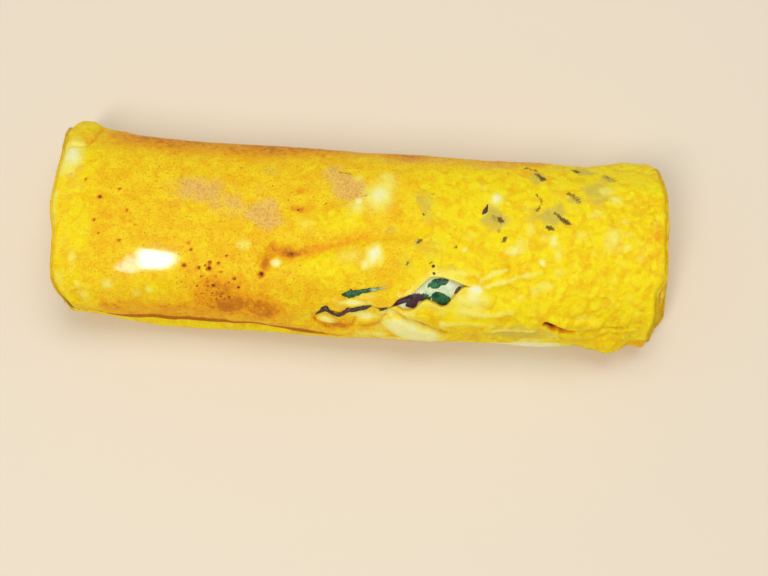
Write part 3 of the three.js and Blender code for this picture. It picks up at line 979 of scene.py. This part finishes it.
def flake(pieces, line, green, faded, film, raise_by):
    """A thin curved scrap along a line on the skin."""
    line = np.array(line, float)
    steps = np.linspace(0, len(line) - 1, 8 * len(line))
    x, g, half = (eased(np.interp(steps, np.arange(len(line)), column)) for column in line.T)
    heading = np.stack([np.gradient(x), np.gradient(g)])
    heading = heading / np.hypot(*heading)
    across = np.linspace(-1, 1, 7)[None, :]
    offset = across * half[:, None] * (1 + 0.5 * ragged(x[:, None] + 3 * across, g[:, None], 0.9, 2))
    wide_x = x[:, None] - heading[1][:, None] * offset
    wide_g = g[:, None] + heading[0][:, None] * offset
    lift = FLAKE_LIFT + raise_by + 0.2 * (1 - across**2) + 0.1 * ripples(wide_x, wide_g, 1.5, 2)
    along = ramp(wide_x, x[0], x[-1] - x[0])
    marks = marks_of(wide_x.shape, {GREEN: green, FADED: faded, FILM: film * along})
    top = pieces.add(on_skin(wide_x, wide_g, lift), marks)
    bottom = pieces.add(on_skin(wide_x, wide_g, lift - FLAKE_THICKNESS), marks)
    close_sheet(pieces, top, bottom)


def close_sheet(pieces, top, bottom):
    """Faces of a thin closed sheet between two like grids."""
    pieces.quads(top)
    pieces.quads(bottom, flip=True)
    for border in (np.s_[0], np.s_[-1], np.s_[:, 0], np.s_[:, -1]):
        keys = np.arange(len(top[border]))
        pieces.zip(top[border], keys, bottom[border], keys)


def laver():
    """The sheet of laver between the turns, and the scraps on the skin."""
    pieces = Pieces()
    shares = column_shares(COARSE, 0.7) * (1 - 1.8 / LENGTH)
    near = turns_of(spread(LIP_GIRTH - 5, 6, 0.7))
    rest = np.linspace(float(turns_of(6)), LAVER_TURNS - 0.03, 100)[1:]
    turns = np.concatenate([near, rest])
    top = pieces.add(*laver_grid(turns, shares, False))
    bottom = pieces.add(*laver_grid(turns, shares, True))
    close_sheet(pieces, top, bottom)
    for scrap in FLAKES:
        flake(pieces, *scrap)
    return finished(pieces, "laver")


# ---------------- materials
def srgb(red, green, blue):
    """A linear colour from 0 to 255 display values."""
    channels = [c / 255 for c in (red, green, blue)]
    return [c / 12.92 if c <= 0.04045 else ((c + 0.055) / 1.055) ** 2.4 for c in channels] + [1.0]


class Nodes:
    """A material's node tree, with short calls for the nodes used here."""

    def __init__(self, name):
        self.material = bpy.data.materials.new(name)
        self.material.use_nodes = True
        self.tree = self.material.node_tree
        self.tree.nodes.clear()
        self.output = self.add("ShaderNodeOutputMaterial")
        self.shader = self.add("ShaderNodeBsdfPrincipled")
        self.tree.links.new(self.shader.outputs[0], self.output.inputs[0])
        place = self.add("ShaderNodeTexCoord")
        scaled = self.add("ShaderNodeVectorMath", operation="SCALE")
        scaled.inputs["Scale"].default_value = 1 / MM
        self.tree.links.new(place.outputs["Object"], scaled.inputs[0])
        self.place = scaled.outputs[0]

    def add(self, kind, **settings):
        node = self.tree.nodes.new(kind)
        for key, value in settings.items():
            setattr(node, key, value)
        return node

    def feed(self, socket, value):
        if isinstance(value, bpy.types.NodeSocket):
            self.tree.links.new(value, socket)
        else:
            socket.default_value = value

    def math(self, operation, *values, clamp=False):
        node = self.add("ShaderNodeMath", operation=operation, use_clamp=clamp)
        for socket, value in zip(node.inputs, values):
            self.feed(socket, value)
        return node.outputs[0]

    def noise(self, size, detail=3.0, roughness=0.55, warp=0.0):
        """Noise from 0 to 1 with features of about the given size in millimetres."""
        node = self.add("ShaderNodeTexNoise")
        self.feed(node.inputs["Vector"], self.place)
        node.inputs["Scale"].default_value = 1 / size
        node.inputs["Detail"].default_value = detail
        node.inputs["Roughness"].default_value = roughness
        node.inputs["Distortion"].default_value = warp
        return node.outputs["Fac"]

    def cells(self, size, feature="F1"):
        """Distance from the middle of random cells of that size in millimetres, and a number for each."""
        node = self.add("ShaderNodeTexVoronoi", feature=feature)
        self.feed(node.inputs["Vector"], self.place)
        node.inputs["Scale"].default_value = 1 / size
        parts = self.add("ShaderNodeSeparateColor")
        self.tree.links.new(node.outputs["Color"], parts.inputs[0])
        return node.outputs["Distance"], parts.outputs[0]

    def step(self, value, low, high):
        """Smoothly from 0 at low to 1 at high."""
        node = self.add("ShaderNodeMapRange", interpolation_type="SMOOTHSTEP")
        self.feed(node.inputs["Value"], value)
        self.feed(node.inputs["From Min"], low)
        self.feed(node.inputs["From Max"], high)
        return node.outputs[0]

    def mix(self, amount, low, high):
        node = self.add("ShaderNodeMix", data_type="RGBA")
        self.feed(node.inputs[0], amount)
        self.feed(node.inputs[6], low)
        self.feed(node.inputs[7], high)
        return node.outputs[2]

    def marks(self, name):
        """The red, green, blue and alpha of a painted attribute."""
        node = self.add("ShaderNodeAttribute", attribute_name=name)
        parts = self.add("ShaderNodeSeparateColor")
        self.tree.links.new(node.outputs["Color"], parts.inputs[0])
        return [*parts.outputs, node.outputs["Alpha"]]

    def times(self, a, b):
        return self.math("MULTIPLY", a, b)

    def ragged(self, value, noise, amount, low, high):
        """A painted mark with its border broken up by noise."""
        broken = self.math("ADD", value, self.times(self.math("SUBTRACT", noise, 0.5), amount))
        return self.step(broken, low, high)

    def dots(self, size, share, rare, largest, soft):
        """Round dots in random cells of that size, more of them and larger where the share is high."""
        distance, number = self.cells(size)
        radius = self.times(self.step(self.times(number, share), *rare), largest)
        return self.step(self.math("SUBTRACT", radius, distance), 0.0, soft)

    def bump(self, height, distance):
        node = self.add("ShaderNodeBump")
        node.inputs["Strength"].default_value = 1.0
        node.inputs["Distance"].default_value = distance * MM
        self.feed(node.inputs["Height"], height)
        return node.outputs[0]

    def surface(self, settings):
        """Sets the shader's sockets, each to a plain value or to another node's output."""
        for name, value in settings.items():
            self.feed(self.shader.inputs[name], value)
        return self.material


def yellows(nodes, lemon, medium):
    """The egg's own yellow: golden, or a brighter lemon yellow with small round bubbles."""
    broad, patches = nodes.noise(11, 3), nodes.noise(4.2, 3, 0.6, 0.6)
    golden = nodes.mix(nodes.step(patches, 0.30, 0.72), srgb(254, 222, 20), srgb(247, 192, 8))
    mottled = nodes.mix(nodes.step(patches, 0.42, 0.66), srgb(254, 228, 2), srgb(247, 202, 0))
    distance, _ = nodes.cells(3.3, "SMOOTH_F1")
    cell = nodes.math("ADD", distance, nodes.times(medium, 0.5))
    bright = nodes.mix(nodes.step(cell, 0.62, 0.38), mottled, srgb(254, 236, 26))
    return nodes.mix(nodes.ragged(lemon, broad, 0.6, 0.2, 0.75), golden, bright)


def browned_and_shaded(nodes, colour, browning_and_shade, lemon, medium, grain):
    """Browning and painted shade from one mark: orange, then deeper browning, then scorched, with a fine
    speckle on the drier golden skin.
    """
    colour = nodes.mix(nodes.ragged(browning_and_shade, medium, 1.2, 0.15, 0.95), colour, srgb(244, 168, 6))
    colour = nodes.mix(nodes.ragged(browning_and_shade, medium, 2.4, 0.75, 1.5), colour, srgb(206, 122, 10))
    singed = nodes.times(nodes.step(grain, 0.52, 0.64), nodes.step(browning_and_shade, 0.55, 1.3))
    colour = nodes.mix(nodes.times(singed, 0.55), colour, srgb(160, 84, 10))
    colour = nodes.mix(nodes.step(browning_and_shade, 1.4, 2.0), colour, srgb(96, 36, 8))
    dry = nodes.math("SUBTRACT", 1.0, nodes.times(lemon, 0.8), clamp=True)
    speckle = nodes.times(nodes.step(grain, 0.50, 0.64), dry)
    return nodes.mix(nodes.times(speckle, 0.5), colour, srgb(226, 146, 6))


def patched(nodes, colour, beige, pale, laver, medium, grain):
    """Beige, pale and cream patches, and the laver's scraps that show through the skin."""
    tan = nodes.mix(nodes.step(grain, 0.42, 0.62), srgb(240, 198, 106), srgb(224, 168, 78))
    scrap = nodes.mix(nodes.step(grain, 0.4, 0.6), srgb(58, 30, 24), srgb(120, 84, 36))
    colour = nodes.mix(nodes.times(nodes.ragged(beige, medium, 0.6, 0.1, 0.9), 0.85), colour, tan)
    colour = nodes.mix(nodes.ragged(pale, medium, 0.45, 0.08, 0.75), colour, srgb(253, 240, 108))
    colour = nodes.mix(nodes.ragged(pale, medium, 0.4, 0.55, 1.05), colour, srgb(253, 251, 206))
    return nodes.mix(nodes.times(nodes.ragged(laver, grain, 1.8, 0.2, 0.9), 0.92), colour, scrap)


def egg_material():
    nodes = Nodes("cooked_egg")
    # The first mark holds browning together with painted shade.
    browning_and_shade, lemon, pale, beige = nodes.marks("tone_a")
    laver_shows, pitted, olive_and_shade, wet = nodes.marks("tone_b")
    inner = nodes.add("ShaderNodeAttribute", attribute_name="inner").outputs["Fac"]
    medium, grain = nodes.noise(2.0, 4, 0.6, 0.4), nodes.noise(0.7, 3, 0.6)

    colour = yellows(nodes, lemon, medium)
    # Olive tint, which low on the front is painted shade.
    colour = nodes.mix(nodes.ragged(olive_and_shade, medium, 0.7, 0.1, 0.9), colour, srgb(218, 196, 72))
    # Browning together with painted shade in creases, along the free edge and at the back.
    colour = browned_and_shaded(nodes, colour, browning_and_shade, lemon, medium, grain)
    colour = patched(nodes, colour, beige, pale, laver_shows, medium, grain)
    pit = nodes.dots(1.45, pitted, (0.25, 1.0), 0.36, 0.14)
    speck = nodes.dots(0.85, pitted, (0.4, 1.3), 0.34, 0.2)
    colour = nodes.mix(nodes.times(speck, 0.7), colour, srgb(176, 98, 10))
    colour = nodes.mix(nodes.times(pit, 0.8), colour, srgb(132, 62, 10))
    crumb = nodes.mix(nodes.step(medium, 0.35, 0.65), srgb(249, 214, 66), srgb(238, 188, 34))

    grainy = nodes.math("ADD", nodes.times(grain, 0.35), nodes.times(medium, 0.9))
    height = nodes.math("SUBTRACT", grainy, nodes.times(pit, 0.1))
    height = nodes.times(height, nodes.math("SUBTRACT", 1.0, wet))
    return nodes.surface({
        "Base Color": nodes.mix(inner, colour, crumb),
        "Roughness": nodes.math("ADD", 0.42, nodes.times(medium, 0.25)),
        "Normal": nodes.bump(height, 0.5),
        "Specular IOR Level": 0.18,
        "Subsurface Weight": 0.12,
        "Subsurface Radius": (0.004, 0.0022, 0.0005),
        "Subsurface Scale": 0.5,
        "Coat Weight": nodes.times(wet, wet),
        "Coat Roughness": 0.1,
        "Coat IOR": 1.8,
    })


def laver_material():
    nodes = Nodes("dried_laver")
    green, faded, film, white = nodes.marks("tone_a")
    broad, fine_grain = nodes.noise(2.4, 3), nodes.noise(0.5, 3)
    blotches = nodes.step(broad, 0.35, 0.65)
    dark = nodes.mix(blotches, srgb(38, 13, 34), srgb(78, 34, 54))
    leaf = nodes.mix(blotches, srgb(2, 62, 30), srgb(14, 108, 56))
    colour = nodes.mix(green, dark, leaf)
    colour = nodes.mix(nodes.times(faded, nodes.step(fine_grain, 0.2, 0.7)), colour, srgb(104, 76, 24))
    film_colour = nodes.mix(blotches, srgb(198, 224, 178), srgb(236, 240, 190))
    film_colour = nodes.mix(white, film_colour, srgb(236, 244, 222))
    height = nodes.math("ADD", broad, nodes.times(fine_grain, 0.3))
    return nodes.surface({
        "Base Color": nodes.mix(nodes.ragged(film, broad, 0.4, 0.3, 0.6), colour, film_colour),
        "Roughness": 0.34,
        "Normal": nodes.bump(height, 0.5),
    })


def floor_material():
    return Nodes("floor").surface({"Base Color": srgb(240, 226, 204), "Roughness": 0.8})


# ---------------- the scene
CAMERA_ELEVATION, CAMERA_AZIMUTH = math.radians(71.4), math.radians(4.1)
CAMERA_AIM = Vector((9, -18, 18)) * MM
CAMERA_DISTANCE = 427 * MM
LENS, SENSOR_WIDTH = 58.6, 36
FLOOR_SIZE = 4
FLOOR_GAP = 0.0002


def aimed(name, data, place, target):
    """Links a camera or a lamp to the scene, looking from its place at the target."""
    item = bpy.data.objects.new(name, data)
    item.location = place
    item.rotation_euler = (target - place).to_track_quat("-Z", "Y").to_euler()
    bpy.context.scene.collection.objects.link(item)
    return item


def camera():
    level = math.cos(CAMERA_ELEVATION)
    away = Vector((
        math.sin(CAMERA_AZIMUTH) * level,
        -math.cos(CAMERA_AZIMUTH) * level,
        math.sin(CAMERA_ELEVATION),
    ))
    data = bpy.data.cameras.new("camera")
    data.lens = LENS
    data.sensor_width = SENSOR_WIDTH
    data.clip_start = 0.01
    place = CAMERA_AIM + away * CAMERA_DISTANCE
    bpy.context.scene.camera = aimed("camera", data, place, CAMERA_AIM)


def area_light(name, direction, distance, size, power, colour):
    data = bpy.data.lights.new(name, "AREA")
    data.shape = "RECTANGLE"
    data.size, data.size_y = size
    data.energy = power
    data.color = colour
    aimed(name, data, Vector(direction).normalized() * distance, Vector((0, 0, 0)))


def surroundings():
    bpy.ops.mesh.primitive_plane_add(size=FLOOR_SIZE)
    floor = bpy.context.object
    floor.name = "floor"
    floor.location.z = EGG_LOW[2] * MM - FLOOR_GAP
    floor.data.materials.append(floor_material())
    world = bpy.data.worlds.new("studio")
    bpy.context.scene.world = world
    world.use_nodes = True
    background = world.node_tree.nodes["Background"]
    background.inputs["Color"].default_value = (1, 1, 1, 1)
    background.inputs["Strength"].default_value = 0.40
    area_light("lamp", (-0.29, -0.65, 1.03), 1.25, (0.24, 0.55), 5.4, (1, 0.99, 0.96))
    area_light("overhead", (0.1, 0.28, 1), 1.3, (0.8, 0.7), 5.6, (1, 0.99, 0.97))
    bpy.context.scene.view_settings.view_transform = "Standard"


camera()
surroundings()

egg_piece = egg()
egg_piece.data.materials.append(egg_material())
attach(egg_piece, "root")
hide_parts("egg_roll")

laver_piece = laver()
laver_piece.data.materials.append(laver_material())
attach(laver_piece, "root")
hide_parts("laver_sheet")
